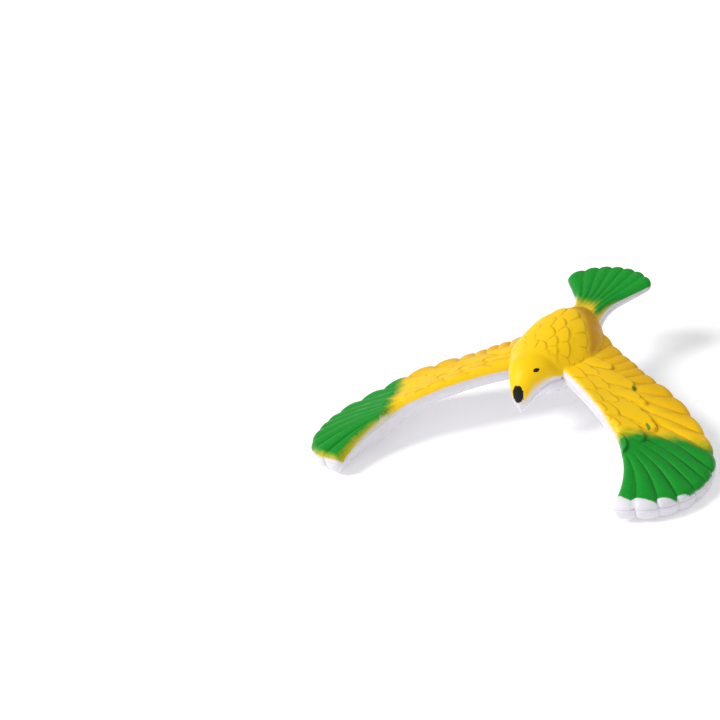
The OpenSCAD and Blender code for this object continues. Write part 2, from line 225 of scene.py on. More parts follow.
@dataclass(frozen=True)
class WingForm:
    """Plan, thickness and feathers of one wing; the other is its mirror image."""

    feathers: int = 17
    ends: tuple = (
        (62.8, -67, 6.8), (72, -66.5, 7.3), (80, -62.5, 6.8), (85, -56, 6), (88, -47.5, 5.4),
        (89, -40.5, 5.2), (88, -33, 5.4), (83.5, -22.5, 6.4), (76.5, -14, 8.8), (67.5, -7, 12.6),
        (57, 0.5, 15.6), (47, 6.5, 17.4), (40.5, 10, 18.9), (36, 12.5, 20.1), (31.5, 15.5, 21.2),
        (26.5, 17.5, 22.4), (19.5, 22, 23.4), (12, 28, 24.6),
    )
    root_keys: tuple = (0, 3, 6, 9, 12, 14.5, 17)
    roots: tuple = (
        (55, -42, 14.2), (53.3, -39.5, 15.6), (50, -36, 17.8), (43.5, -31.5, 20.4),
        (34, -24.5, 23), (23.5, -16.5, 24.6), (12.5, -8.5, 25.2),
    )
    bows: tuple = ((0, 2.2), (2.4, 3), (4.9, 3.4), (7.3, 3), (9.7, 2.4), (12.1, 1.6), (14.6, 1), (17, 0))
    end_round: tuple = ((0, 0.3), (1, 0.22), (2, 0.16), (6, 0.16), (8, 0.16), (12, 0.17), (17, 0.15))
    sweep: tuple = ((0, 0), (3, 0.6), (5, 1.8), (7, 4.4), (9, 6), (11, 6.4), (13, 5), (15, 2.6), (17, 0))
    flute_start: tuple = ((0, 0.1), (3, 0.16), (6, 0.2), (7, 0.24), (17, 0.24))
    rise: float = 3.4
    depth: float = 8.6
    depth_share: tuple = ((0, 0.98), (5.5, 0.98), (8, 0.7), (11, 0.6), (17, 0.62))
    flute: float = 0.125
    rim_top: float = 3.2
    rim_bottom: float = 3.6
    rim_behind: float = 2.6
    groove: float = 0.22
    coverts: tuple = (
        CovertRow(
            edges=(-9, 2.6, 6.3, 9.7, 11.8, 14.6, 16.3, 19),
            ends=(0.12, 0.29, 0.48, 0.6, 0.7, 0.67, 0.6),
            step=0.85, dome=0.95, roundness=0.13,
        ),
        CovertRow(
            edges=(-9, 3.4, 5.9, 8.4, 10.6, 12.8, 14.8, 16.6, 19),
            ends=(0.04, 0.1, 0.2, 0.33, 0.4, 0.42, 0.4, 0.36),
            step=0.5, dome=0.6, roundness=0.09,
        ),
        CovertRow(
            edges=(-9, 3, 4.6, 6.3, 8, 10, 12, 14, 16, 19),
            ends=(0.01, 0.03, 0.06, 0.1, 0.17, 0.22, 0.24, 0.24, 0.2),
            step=0.32, dome=0.36, roundness=0.06,
        ),
    )

    def swept(self, u: Array, v: Array) -> Array:
        """Feather line s under a flight feather's own line u, which sweeps back from the arm."""
        return u + keyed(self.sweep, u) * (1 - np.maximum(v, 0.2)) ** 2

    def width(self, u: Array) -> Array:
        """Width of a flight feather at its end.

        Args:
            u: Flight feather line.

        Returns:
            The width in millimetres of the feather that u lies on.
        """
        e = np.asarray(self.ends, float)[:, :2]
        widths = np.hypot(*np.diff(e, axis=0).T)
        return widths[np.clip(np.asarray(u).astype(int), 0, self.feathers - 1)]

    def line(self, s: Array, scallop: float) -> tuple[Array, Array]:
        """Front and back end of a feather line.

        Args:
            s: Feather line.
            scallop: 1 with the rounded feather ends, 0 without.

        Returns:
            The points on the leading edge and on the feather ends.
        """
        e = np.asarray(self.ends, float)
        front = spline(self.roots, np.interp(s, self.root_keys, range(len(self.roots))))
        i = np.clip(s.astype(int), 0, self.feathers - 1)
        f = s - i
        step = e[i + 1] - e[i]
        out = scallop * keyed(self.end_round, s) * bow(f)
        back = e[i] + step * f[..., None]
        back[..., 0] += step[..., 1] * out
        back[..., 1] -= step[..., 0] * out
        return front, back

    def part(self, s: Array, v: Array, scallop: float = 1.0) -> tuple[Array, Array]:
        """Point of the parting surface.

        Args:
            s: Feather line, from 0 at the wing tip's front to 17 at the body.
            v: Share of the line's length, from the leading edge.
            scallop: 1 with the rounded feather ends, 0 without.

        Returns:
            The point and the length of its feather line.
        """
        front, back = self.line(s, scallop)
        d = back - front
        n = np.hypot(d[..., 0], d[..., 1])
        side = keyed(self.bows, s) * 4 * v * (1 - v) / n
        p = front + d * v[..., None]
        p[..., 0] -= d[..., 1] * side
        p[..., 1] += d[..., 0] * side
        return p, n

    def rim(self, s: Array, v: Array, n: Array, radius: float, inset: float, c: Array) -> Array:
        """Rounded rim of the slab; the body (|c| < 1) has none behind.

        Args:
            s: Feather line.
            v: Share of the feather line's length.
            n: Length of the feather line in millimetres.
            radius: Roundness of the leading edge and the tip.
            inset: 0 for the outside, the wall's thickness for the cavity.
            c: Place across the body, from -1 to 1.

        Returns:
            Share of full thickness, 0 on the rim and 1 inside.
        """
        behind = 1 - np.sqrt(np.maximum(0, 1 - c**2))
        back = rounded((1 - v) * n - inset, self.rim_behind)
        tip = rounded(float(self.width(np.array(0))) * s * (0.25 + 0.75 * v) - inset, radius)
        return rounded(v * n - inset, radius) * (1 - behind * (1 - back)) * tip

    def relief(self, u: Array, s: Array, v: Array, n: Array) -> tuple[Array, Array]:
        """Flight feathers and coverts on top of the wing.

        Args:
            u: Flight feather line.
            s: Feather line of the plan, which the coverts follow.
            v: Share of the line's length.
            n: Length of the line in millimetres.

        Returns:
            Their height in millimetres and their grooves, from 0 to 1.
        """
        f = u - np.clip(u.astype(int), 0, self.feathers - 1)
        groove = groove_beside(f) * ease(0.0, 0.15, v - keyed(self.flute_start, u))
        start = keyed(self.flute_start, u)
        h = (bow(f) ** 1.35 - 0.66) * self.flute * self.width(u) * np.clip((v - start) / 0.12, 0, 1)
        h = h * np.clip(1.6 * v, 0, 1) * (1 - 0.4 * ease(0.8, 1.0, v))
        for row in self.coverts:
            over, cover, line = row.height(s, v, n)
            h = h * (1 - cover) + over * cover
            groove = np.maximum(groove * (1 - cover), line)
        return h, groove


@dataclass(frozen=True)
class BodyForm:
    """Back, belly and the scales on the back."""

    y: tuple = (-8.5, -1, 7, 17, 27, 34.5)
    back: tuple = (36.2, 37.6, 38.8, 39.4, 38.2, 35.2)
    half: tuple = (12.5, 16.5, 18.5, 17.5, 13.5, 9)
    belly: tuple = (9.5, 11.5, 12, 11, 7.5, 4.5)
    roundness: float = 1.24
    rump_y: float = 34.5
    scales: tuple = (
        ScaleRow((0, 14, 31, 47, 64, 90), front_y=25.0, droop=0.064, step=1.0, roundness=2.6),
        ScaleRow((0, 17, 42, 68, 90), front_y=15.7, droop=0.1, step=0.7, roundness=2.8),
        ScaleRow((-22, 22, 50, 76, 90), front_y=7.8, droop=0.14, step=0.6, roundness=2.6),
        ScaleRow((0, 24, 50, 90), front_y=-1.2, droop=0.12, step=0.45, roundness=1.6, dome=0.4,
                 centre_y=-16.0),
    )

    def at(self, values: tuple, y: Array) -> Array:
        """Value of one of the body's lists at y."""
        return spline(values, np.interp(y, self.y, range(len(self.y))))

    def arch(self, x: Array, y: Array, inset: float) -> Array:
        """Cross-section of the body.

        Args:
            x: Sideways place, in millimetres.
            y: Lengthways place, in millimetres.
            inset: 0 for the outside, the wall's thickness for the cavity.

        Returns:
            1 on the body's middle line, 0 at its sides and beyond.
        """
        half = self.at(self.half, y) - inset
        q = np.maximum(0, 1 - (x / half) ** 2)
        return np.where(np.abs(x) < half, q ** (self.roundness / 2), 0)

    def relief(self, x: Array, y: Array) -> tuple[Array, Array]:
        """Scales on the back.

        Args:
            x: Sideways place, in millimetres.
            y: Lengthways place, in millimetres.

        Returns:
            Their height in millimetres and their grooves, from 0 to 1.
        """
        h, groove = np.zeros_like(x), np.zeros_like(x)
        for row in self.scales:
            over, cover, line = row.height(x, y)
            h = h * (1 - cover) + over * cover
            groove = np.maximum(groove * (1 - cover), line)
        part = ease(-9.5, -4, y) * ease(0.05, 0.35, self.arch(x, y, 0.0))
        return h * part, groove * part


@dataclass(frozen=True)
class HeadForm:
    """Head sections from the neck to the end of its painted part, and the beak's point."""

    part: tuple = ((-8.5, 25.2), (-12.4, 25.7), (-16.3, 24.9), (-19.3, 23.2), (-21.5, 21.1), (-22.9, 19.4))
    crown: tuple = ((-8.5, 36.2), (-14.7, 35.2), (-19.9, 32.7), (-23.3, 28.9), (-25.2, 24.9), (-25.7, 21))
    throat: tuple = ((-8.5, 15.7), (-10.6, 17.3), (-13.2, 18.4), (-15.8, 18.8), (-18.2, 18.5), (-20.2, 17.8))
    half: tuple = (12.5, 10.4, 7.9, 5.8, 4.1, 2.9)
    tip: tuple = (0.0, -24.0, 15.0)

    def point(self, t: Array, c: Array, skin: Skin, inset: float) -> Array:
        """Point of the head.

        Args:
            t: From the neck (0) to the beak (1).
            c: Across, from -1 to 1.
            skin: The shell it belongs to.
            inset: 0 for the outside, the wall's thickness for the cavity.

        Returns:
            The points.
        """
        k = t * (len(self.half) - 1)
        base = spline(self.part, k)
        end = spline(self.crown if skin is Skin.UPPER else self.throat, k)
        d = end - base
        n = np.hypot(d[..., 0], d[..., 1])
        power = 0.45 + 0.17 * ease(0.16, 0.0, t)
        q = (n - inset) / n * np.maximum(0, 1 - c**2) ** power
        x = (spline(self.half, k) - inset) * c
        return np.stack([x, base[..., 0] + d[..., 0] * q, base[..., 1] + d[..., 1] * q], -1)

    def beak(self, t: Array, c: Array, skin: Skin) -> Array:
        """Point of the beak.

        Args:
            t: From the head's end (0) to the tip (1).
            c: Across, from -1 to 1.
            skin: Upper or lower side.

        Returns:
            The points.
        """
        p = self.point(np.ones_like(c), c, skin, 0.0)
        tip = np.asarray(self.tip)
        return tip + (p - tip) * (1 - t**1.5)[..., None]


@dataclass(frozen=True)
class TailForm:
    """The tail's fan, from the rump to the rounded feather ends."""

    half: tuple = (8.6, 7.6, 7.5, 9.6, 13.4, 17.2, 19.9)
    y: tuple = (29.5, 35.2, 40.8, 46.3, 51.5, 56.2, 60.2)
    z: tuple = (25.2, 27.2, 28.9, 30.6, 31.9, 33, 33.9)
    rise: tuple = ((0, 7.5), (0.12, 6.5), (0.3, 4.2), (0.6, 2.4), (1, 2))
    drop: tuple = ((0, 5), (0.2, 4.6), (0.45, 3), (1, 2.3))
    feathers: int = 7
    bulge: float = 9.3
    corner: float = 1.5
    flute: float = 0.95
    rump_y: float = 34.5

    def point(self, t: Array, c: Array, skin: Skin, inset: float) -> Array:
        """Point of the tail.

        Args:
            t: From the rump (0) to the feather ends (1).
            c: Across, from -1 to 1.
            skin: The shell it belongs to.
            inset: 0 for the outside, the wall's thickness for the cavity.

        Returns:
            The points.
        """
        tt = t * (1 - inset / 30) if inset > 0 else t
        k = tt * (len(self.half) - 1)
        half = spline(self.half, k)
        f = (c + 1) / 2 * self.feathers
        g = f - np.clip(np.floor(f), 0, self.feathers - 1)
        scallop = 0 * tt if inset > 0 else 1.3 * bow(g) * tt**3
        bulge = tt**2 * (self.bulge * np.maximum(0, 1 - c**2) ** 0.8 - self.corner * np.abs(c) ** 7)
        tucked = 0 * tt
        if skin is Skin.LOWER:
            reach = self.rump_y - self.y[0]
            tucked = reach * np.sqrt(np.maximum(0, 1 - c**2)) * np.maximum(0, 1 - tt / 0.4)
        x = (half - inset) * c * (1 + 0.6 * scallop / half)
        y = spline(self.y, k) + bulge + scallop + tucked
        z = spline(self.z, k) + 0.14 * bulge
        full = rounded((1 - np.abs(c)) * half, 2.0) * rounded((1 - t) * 30, 2.2)
        h = keyed(self.rise if skin is Skin.UPPER else self.drop, tt) - inset
        if inset == 0:
            ribs = (bow(g) - 0.72) * self.flute * ease(0.12, 0.5, tt)
            h = h + (ribs if skin is Skin.UPPER else 0.35 * ribs)
        return np.stack([x, y, z + skin.value * h * full], -1)


# ---------------------------------------------------------------- paint areas


@dataclass(frozen=True)
class PaintPlan:
    """Where each colour ends, as signed distances in millimetres, positive inside the colour."""

    near_line: tuple = ((52.0, -38.5), (0.503, -0.866), 2.2)
    far_line: tuple = ((55.6, -42.8), (0.93, -0.37), 1.4)
    front_band: float = 1.5
    tail_start: float = 0.37
    tail_length: float = 33.0

    def green_on_wing(self, p: Array, left: Array, dome: Array) -> Array:
        """Distance into the green of a wing tip.

        Args:
            p: Points, with x taken positive on both wings.
            left: True on the bird's left wing.
            dome: Half circle across each flight feather.

        Returns:
            Signed distance in millimetres.
        """
        out = []
        for (x0, y0), (nx, ny), dip in (self.near_line, self.far_line):
            along = np.clip(((p[..., 0] - x0) * -ny + (p[..., 1] - y0) * nx) / 34, 0, 1)
            out.append((p[..., 0] - x0) * nx + (p[..., 1] - y0) * ny + dip * 4 * along * (1 - along))
        return np.where(left, out[0], out[1]) + 1.5 * (dome - 0.7)

    def edge_band(self, s: Array, v: Array, n: Array) -> Array:
        """Band along the right wing tip's front that the green misses.

        Args:
            s: Feather line.
            v: Share of the feather line's length.
            n: Length of the feather line in millimetres.

        Returns:
            Distance in millimetres from the band, negative inside it.
        """
        front = 9.2 * s * (0.3 + 0.7 * v) - 2.2
        end = (1 - v) * n - 2.6 * ease(3.2, 0.4, s)
        lead = v * n - 1.2
        return 1.6 * np.minimum(np.minimum(front, end), lead) + 1.0

    def bare_on_wing(self, u: Array, end: Array, left: Array, dome: Array) -> Array:
        """Distance into the unpainted feather ends of a wing tip.

        Args:
            u: Flight feather line.
            end: Distance to the feather's end in millimetres.
            left: True on the bird's left wing.
            dome: Half circle across each flight feather.

        Returns:
            Signed distance in millimetres.
        """
        f = u - np.floor(u)
        near = 4.2 - 1.12 * u + 0.9 * (dome - 0.6) - 2.0 * (f - 0.4)
        near = np.where(u < 5.6, np.maximum(near, 0.15), near - 3)
        far = 0.5 - 0.5 * u + 0.4 * dome
        return np.where(left, near, far) - end

    def bare_front(self, u: Array, lead: Array) -> Array:
        """Thin bare band along the left wing's leading edge, between its shoulder and its green tip.

        Args:
            u: Flight feather line.
            lead: Distance to the leading edge in millimetres.

        Returns:
            Signed distance in millimetres.
        """
        width = self.front_band * ease(4.5, 8.0, u) * ease(17.0, 16.2, u)
        return 0.5 * (width - lead) - 0.3 * ease(8.0, 4.5, u)

    def green_on_tail(self, t: Array, c: Array, dome: Array) -> Array:
        """Distance into the green of the tail.

        Args:
            t: From the rump (0) to the feather ends (1).
            c: Across, from -1 to 1.
            dome: Half circle across each tail feather.

        Returns:
            Signed distance in millimetres.
        """
        overspray = 8.0 * ease(0.3, 0.85, c) * ease(0.6, 0.15, t)
        start = self.tail_start + 0.17 * np.abs(c) ** 5
        return (t - start) * self.tail_length + 5.0 * (dome - 0.72) * (1 - t) + overspray


# ---------------------------------------------------------------- shells


@dataclass
class Grid:
    """A sheet over the whole bird: wing, body, head and tail patches that share their borders."""

    u: Array
    v: Array
    c: Array
    head: Array
    tail: Array

    def __post_init__(self) -> None:
        """Counts the rows and columns."""
        self.wing = len(self.u) - 1
        self.body = len(self.c) - 1
        self.rows = len(self.v) - 1
        self.last = 2 * self.wing + self.body
        self.slab = (self.rows + 1) * (self.last + 1)
        self.heads = len(self.head) - 1
        self.tails = len(self.tail) - 1
        self.size = self.slab + (self.heads + self.tails + 1) * (self.body + 1)

    def thinned(self, across: int, body: int, rows: int, head: int, tail: int) -> "Grid":
        """The same sheet with only every n-th line of each kind."""
        return Grid(self.u[::across], self.v[::rows], self.c[::body], self.head[::head], self.tail[::tail])

    def slab_id(self, i: Array, j: Array) -> Array:
        """Vertex of the wings and body."""
        return np.asarray(i) * (self.last + 1) + j

    def head_id(self, k: Array, j: Array) -> Array:
        """Vertex of the head, whose row 0 is the slab's front row.

        Args:
            k: Row, from the neck.
            j: Column, across the body.

        Returns:
            Vertex numbers.
        """
        return np.where(
            np.asarray(k) == 0, self.slab_id(0, self.wing + np.asarray(j)),
            self.slab + (np.asarray(k) - 1) * (self.body + 1) + j,
        )

    def tail_id(self, k: Array, j: Array) -> Array:
        """Vertex of the tail, whose row -1 is the slab's back row.

        Args:
            k: Row, from the rump.
            j: Column, across the body.

        Returns:
            Vertex numbers.
        """
        return np.where(
            np.asarray(k) < 0, self.slab_id(self.rows, self.wing + np.asarray(j)),
            self.slab + (self.heads + np.asarray(k)) * (self.body + 1) + j,
        )

    def quads(self) -> Array:
        """All the sheet's faces.

        Returns:
            One row of four vertex numbers for each face.
        """
        out = []
        for id_of, rows, columns, turn in (
            (self.slab_id, range(self.rows), self.last, 1),
            (self.head_id, range(self.heads), self.body, -1),
            (self.tail_id, range(-1, self.tails), self.body, 1),
        ):
            i, j = np.meshgrid(np.array(rows), np.arange(columns), indexing="ij")
            q = np.stack([id_of(i, j), id_of(i + 1, j), id_of(i + 1, j + 1), id_of(i, j + 1)], -1)
            out.append(q.reshape(-1, 4)[:, ::turn])
        return np.concatenate(out)

    def rim_runs(self) -> list[Array]:
        """The rim, from the head's left end round the bird to its right end.

        Returns:
            Runs of vertex numbers, each with the same ends on every sheet.
        """
        w, b, n = self.wing, self.body, self.last
        down = np.arange
        return [
            self.head_id(down(self.heads, -1, -1), 0),
            self.slab_id(0, down(w, -1, -1)),
            self.slab_id(down(0, self.rows + 1), 0),
            self.slab_id(self.rows, down(0, w + 1)),
            self.tail_id(down(-1, 1), 0),
            self.tail_id(down(0, self.tails + 1), 0),
            self.tail_id(self.tails, down(0, b + 1)),
            self.tail_id(down(self.tails, -1, -1), b),
            self.tail_id(down(0, -2, -1), b),
            self.slab_id(self.rows, down(n - w, n + 1)),
            self.slab_id(down(self.rows, -1, -1), n),
            self.slab_id(0, down(n, n - w - 1, -1)),
            self.head_id(down(0, self.heads + 1), b),
        ]

    def head_end(self) -> Array:
        """The head's last row, from right to left."""
        return self.head_id(self.heads, np.arange(self.body, -1, -1))


def bridge(fine: Array, coarse: Array) -> list[tuple]:
    """Faces between a fine run of vertices and a coarse one with the same ends.

    Args:
        fine: Vertex numbers of the fine run.
        coarse: Vertex numbers of the coarse run.

    Returns:
        Triangles as tuples of vertex numbers.
    """
    k = (len(fine) - 1) // (len(coarse) - 1)
    faces = []
    for n in range(len(coarse) - 1):
        a, b = coarse[n], coarse[n + 1]
        run = fine[n * k : n * k + k + 1]
        half = k // 2
        faces += [(run[m], run[m + 1], a) for m in range(half)]
        faces.append((run[half], b, a))
        faces += [(run[m], run[m + 1], b) for m in range(half, k)]
    return faces


@dataclass
class ShellMesh:
    """Builds the outer and inner sheets of both shells."""

    wing: WingForm = field(default_factory=WingForm)
    body: BodyForm = field(default_factory=BodyForm)
    head: HeadForm = field(default_factory=HeadForm)
    tail: TailForm = field(default_factory=TailForm)
    paint: PaintPlan = field(default_factory=PaintPlan)
    wall: float = 1.2
    per_feather: int = 14
    body_columns: int = 70
    head_rows: int = 40
    tail_rows: int = 70
    beak_rings: int = 22
    tip_pitch: float = 9.2
    chord: float = 34.0

    def fine_grid(self) -> Grid:
        """Lines of the outer sheet, closer together at the rims and beside each feather's edge.

        Returns:
            The sheet.
        """
        k = np.arange(self.per_feather) / self.per_feather
        soft = 0.5 * k + 0.25 * (1 - np.cos(np.pi * k))
        feathers = self.wing.feathers
        u = np.concatenate([k**1.8] + [i + soft for i in range(1, feathers)] + [[feathers]])
        turn = 1 - np.cos(np.linspace(0, np.pi / 2, 13))
        front, back = self.wing.rim_top / self.chord * turn, 1 - self.wing.rim_behind / self.chord * turn
        v = np.concatenate([front, np.linspace(front[-1], back[-1], 116)[1:], back[::-1][1:]])
        v = np.concatenate([v[:-1], [1.0]])
        c = np.sin(np.linspace(-1, 1, self.body_columns + 1) * np.pi / 2) * 0.35
        c += 0.65 * np.linspace(-1, 1, self.body_columns + 1)
        tail = 1 - (1 - np.linspace(0, 1, self.tail_rows + 1)) ** 1.25
        return Grid(u, v, c, np.linspace(0, 1, self.head_rows + 1), tail)

    def spread(self, grid: Grid) -> tuple[Array, Array, Array, Array]:
        """Places of the slab's vertices.

        Args:
            grid: The sheet's lines.

        Returns:
            Flight feather line, share of its length, place across the body and column of every vertex.
        """
        j = np.arange(grid.last + 1)
        left, right = j < grid.wing, j > grid.wing + grid.body
        u = np.where(left, grid.u[np.minimum(j, grid.wing)], grid.u[np.clip(grid.last - j, 0, grid.wing)])
        c = np.where(left, -1.0, np.where(right, 1.0, grid.c[np.clip(j - grid.wing, 0, grid.body)]))
        u = np.where(left | right, u, float(self.wing.feathers))
        v, u = np.meshgrid(grid.v, u, indexing="ij")
        return u, v, np.broadcast_to(c, u.shape), np.broadcast_to(j, u.shape)

    def slab(self, grid: Grid, skin: Skin, inset: float) -> tuple[Array, dict[str, Array]]:
        """Wings and body.

        Args:
            grid: The sheet's lines.
            skin: The shell it belongs to.
            inset: 0 for the outside, the wall's thickness for the cavity.

        Returns:
            The vertices and the paint distances at them.
        """
        u, v, c, j = self.spread(grid)
        form, body = self.wing, self.body
        s = form.swept(u, v)
        if inset > 0:
            n = form.part(s, v, 0.0)[1]
            e = inset / self.tip_pitch
            s, v = e + s * (form.feathers - e) / form.feathers, inset / n + v * (1 - 2 * inset / n)
        scallop = 0.0 if inset > 0 else 1.0
        p, n = form.part(s, v, scallop)
        corner = form.part(np.array([float(form.feathers)]), np.array([1.0]))[0][0, 1]
        p[..., 1] += (body.rump_y - corner) * v**2 * np.sqrt(np.maximum(0, 1 - c**2))
        x, y, z = p[..., 0] * c, p[..., 1], p[..., 2]
        radius = form.rim_top if skin is Skin.UPPER else form.rim_bottom
        r = form.rim(s, v, n, radius, inset, c)
        arch = body.arch(x, y, inset)
        dome = bow(u - np.clip(u.astype(int), 0, form.feathers - 1))
        groove = np.zeros_like(x)
        if skin is Skin.UPPER:
            flat = (form.rise - inset - v) * r
            back = (body.at(body.back, y) - inset - z) * arch
            if inset == 0:
                ribs, groove = form.relief(u, s, v, n)
                scales, lines = body.relief(x, y)
                on_back = ease(-1.5, 1.5, back - flat)
                flat = flat + ribs * r
                back = back + (scales - 0.25 * ease(-8.5, -3.0, y)) * arch
                groove = (groove * (1 - on_back) + lines * on_back) * ease(0.5, 0.97, r)
            side = np.abs(x) - body.at(body.half, y)
            k = (2.0 + 5.0 * ease(9, 1, side) * ease(-9, -2, side) * ease(0.02, 0.4, v)) * r
            h = smooth_max(flat, back, k) - 0.25 * k * np.exp(-(((flat - back) / (1.8 * k + 0.01)) ** 2))
        else:
            share = keyed(form.depth_share, s)
            flat = (form.depth * share * (1 - 0.33 * v) - inset) * r
            if inset == 0:
                flat = flat + 0.3 * (dome - 0.75) * ease(0.55, 0.9, v) * r
            belly = (body.at(body.belly, y) - inset) * arch
            h = smooth_max(flat, belly, 2.5 * r) - 0.6 * r
        on_rim = (np.abs(c) == 1) & ((v == v[0]) | (v == v[-1])) | (j == 0) | (j == grid.last)
        h = np.where(on_rim, 0, np.maximum(h, 0))
        if inset == 0:
            pull = 1 - form.groove / np.maximum(np.hypot(x, y - 10), 20) * np.exp(-h / 0.14)
            x, y = x * pull, 10 + (y - 10) * pull
        end = (1 - v) * n
        wide = np.stack([np.abs(x), y], -1)
        left = x > 0
        green = self.paint.green_on_wing(wide, left, dome)
        front = np.where(left & (c == 1), self.paint.bare_front(u, v * n), FAR_OUTSIDE)
        rump = y + self.body.scales[0].droop * x**2
        marks = {
            "green_mm": np.where(left, green, np.minimum(green, self.paint.edge_band(s, v, n))),
            "bare_mm": np.maximum(self.paint.bare_on_wing(u, end, left, dome), front),
            # Painted shade: amber on the trailing secondaries and the rump, where they face away from the
            # light; partly also a thinner, see-through yellow coat.
            "shade": 0.6 * ease(5.5, 10.0, u) * ease(0.4, 1.05, v) * ease(0.25, 0.0, arch)
            + 0.95 * ease(0.0, 0.3, arch) * ease(24.4, 29.5, rump),
            "groove": groove,
            "wrap": np.maximum(np.where(left, 0.0, 0.9 * ease(0.2, 0.8, r)),
                               ease(0.02, 0.2, arch) * ease(21.0, 26.0, rump)),
        }
        points = np.stack([x, y, z + skin.value * h], -1).reshape(-1, 3)
        return points, {k: m.ravel() for k, m in marks.items()}

    def sheet(self, grid: Grid, skin: Skin, inset: float) -> tuple[Array, dict[str, Array]]:
        """Wings, body, head and tail of one shell.

        Args:
            grid: The sheet's lines.
            skin: The shell it belongs to.
            inset: 0 for the outside, the wall's thickness for the cavity.

        Returns:
            The vertices in millimetres and the marks at them.
        """
        slab, marks = self.slab(grid, skin, inset)
        t, c = np.meshgrid(grid.head[1:], grid.c, indexing="ij")
        head = self.head.point(t, c, skin, inset).reshape(-1, 3)
        blank = np.full(len(head), FAR_OUTSIDE)
        head_marks = {
            "green_mm": blank,
            "bare_mm": blank,
            "shade": blank * 0,
            "groove": blank * 0,
            "wrap": (ease(0.03, 0.2, 1 - np.abs(c)) * ease(1.0, 0.75, t)).ravel(),
        }
        t, c = np.meshgrid(grid.tail, grid.c, indexing="ij")
        tail = self.tail.point(t, c, skin, inset).reshape(-1, 3)
        f = (c + 1) / 2 * self.tail.feathers
        f = f - np.clip(np.floor(f), 0, self.tail.feathers - 1)
        dome = bow(f)
        valley = groove_beside(f) * ease(0.15, 0.5, t) * ease(0.0, 0.12, 1 - np.abs(c))
        tail_marks = {
            "green_mm": self.paint.green_on_tail(t, c, dome).ravel(),
            "bare_mm": np.full(c.size, FAR_OUTSIDE),
            # Painted shade: amber on the tail's root next to the rump.
            "shade": (0.8 * ease(0.3, 0.0, t)).ravel(),
            "groove": (0.8 * valley).ravel(),
            "wrap": np.zeros(c.size),
        }
        points = np.concatenate([slab, head, tail])
        return points, {k: np.concatenate([marks[k], head_marks[k], tail_marks[k]]) for k in marks}

    def shell(self, skin: Skin) -> tuple[Array, list, dict[str, Array]]:
        """Closed shell: outside, cavity, the strip between them and, on the lower one, the beak.

        Args:
            skin: The shell to build.

        Returns:
            The vertices in millimetres, the faces and the marks at the vertices.
        """
        fine = self.fine_grid()
        coarse = fine.thinned(7, 5, 10, 5, 7)
        outside, marks = self.sheet(fine, skin, 0.0)
        inside, _ = self.sheet(coarse, skin, self.wall)
        faces = [tuple(q) for q in fine.quads()]
        faces += [tuple(q + fine.size) for q in coarse.quads()]
        for a, b in zip(fine.rim_runs(), coarse.rim_runs()):
            faces += bridge(a, b + fine.size)
        points = [outside, inside]
        if skin is Skin.UPPER:
            faces += bridge(fine.head_end(), coarse.head_end() + fine.size)
        else:
            beak, more = self.beak(fine, coarse)
            points.append(beak)
            faces += more
        points = np.concatenate(points)
        spare = len(points) - fine.size
        bare = -FAR_OUTSIDE if skin is Skin.LOWER else FAR_OUTSIDE
        fill = {"green_mm": FAR_OUTSIDE, "bare_mm": bare, "shade": 0.0, "groove": 0.0, "wrap": 0.0}
        return points, faces, {k: np.concatenate([m, np.full(spare, fill[k])]) for k, m in marks.items()}

    def beak(self, fine: Grid, coarse: Grid) -> tuple[Array, list[tuple]]:
        """Solid beak in front of the lower shell's head, and the wall behind it.

        Args:
            fine: The outer sheet.
            coarse: The cavity's sheet.

        Returns:
            The beak's own vertices and the faces.
        """
        b, first = self.body_columns, fine.size + coarse.size
        left = fine.head_id(fine.heads, 0)
        right = fine.head_id(fine.heads, b)
        c = fine.c
        crown = self.head.beak(np.zeros(b - 1), c[1:-1], Skin.UPPER)
        points, ids = [crown], []
        row = [left] + list(range(first, first + b - 1)) + [right]
        under = [int(fine.head_id(fine.heads, j)) for j in range(b - 1, 0, -1)]
        ids.append(row + under)
        count = first + b - 1
        loop_c = np.concatenate([c, c[::-1][1:-1]])
        for r in range(1, self.beak_rings):
            t = np.full(2 * b, r / self.beak_rings) ** 0.8
            ring = np.concatenate([self.head.beak(t[: b + 1], loop_c[: b + 1], Skin.UPPER),
                                   self.head.beak(t[b + 1 :], loop_c[b + 1 :], Skin.LOWER)])
            points.append(ring)
            ids.append(list(range(count, count + 2 * b)))
            count += 2 * b
        points.append(np.asarray([self.head.tip]))
        faces = []
        for a, d in zip(ids, ids[1:]):
            faces += [(a[j], a[(j + 1) % (2 * b)], d[(j + 1) % (2 * b)], d[j]) for j in range(2 * b)]
        faces += [(ids[-1][j], ids[-1][(j + 1) % (2 * b)], count) for j in range(2 * b)]
        in_row = [int(coarse.head_id(coarse.heads, j)) + fine.size for j in range(coarse.body + 1)]
        half = b // 2
        faces += [(in_row[0], row[j + 1], row[j]) for j in range(half)]
        faces.append((in_row[0], in_row[-1], row[half]))
        faces += [(in_row[-1], row[j + 1], row[j]) for j in range(half, b)]
        faces += [(in_row[0], in_row[j], in_row[j + 1]) for j in range(1, coarse.body)]
        return np.concatenate(points), faces


# ---------------------------------------------------------------- node groups


def group_socket(group: bpy.types.NodeTree, name: str, kind: str, out: bool, value: object = None) -> None:
    """Adds one named input or output to a shader node group.

    Args:
        group: The group.
        name: The socket's name.
        kind: The socket's type.
        out: True for an output.
        value: The socket's value where nothing is joined to it.
    """
    socket = group.interface.new_socket(name, in_out="OUTPUT" if out else "INPUT", socket_type=kind)
    if value is not None:
        socket.default_value = value


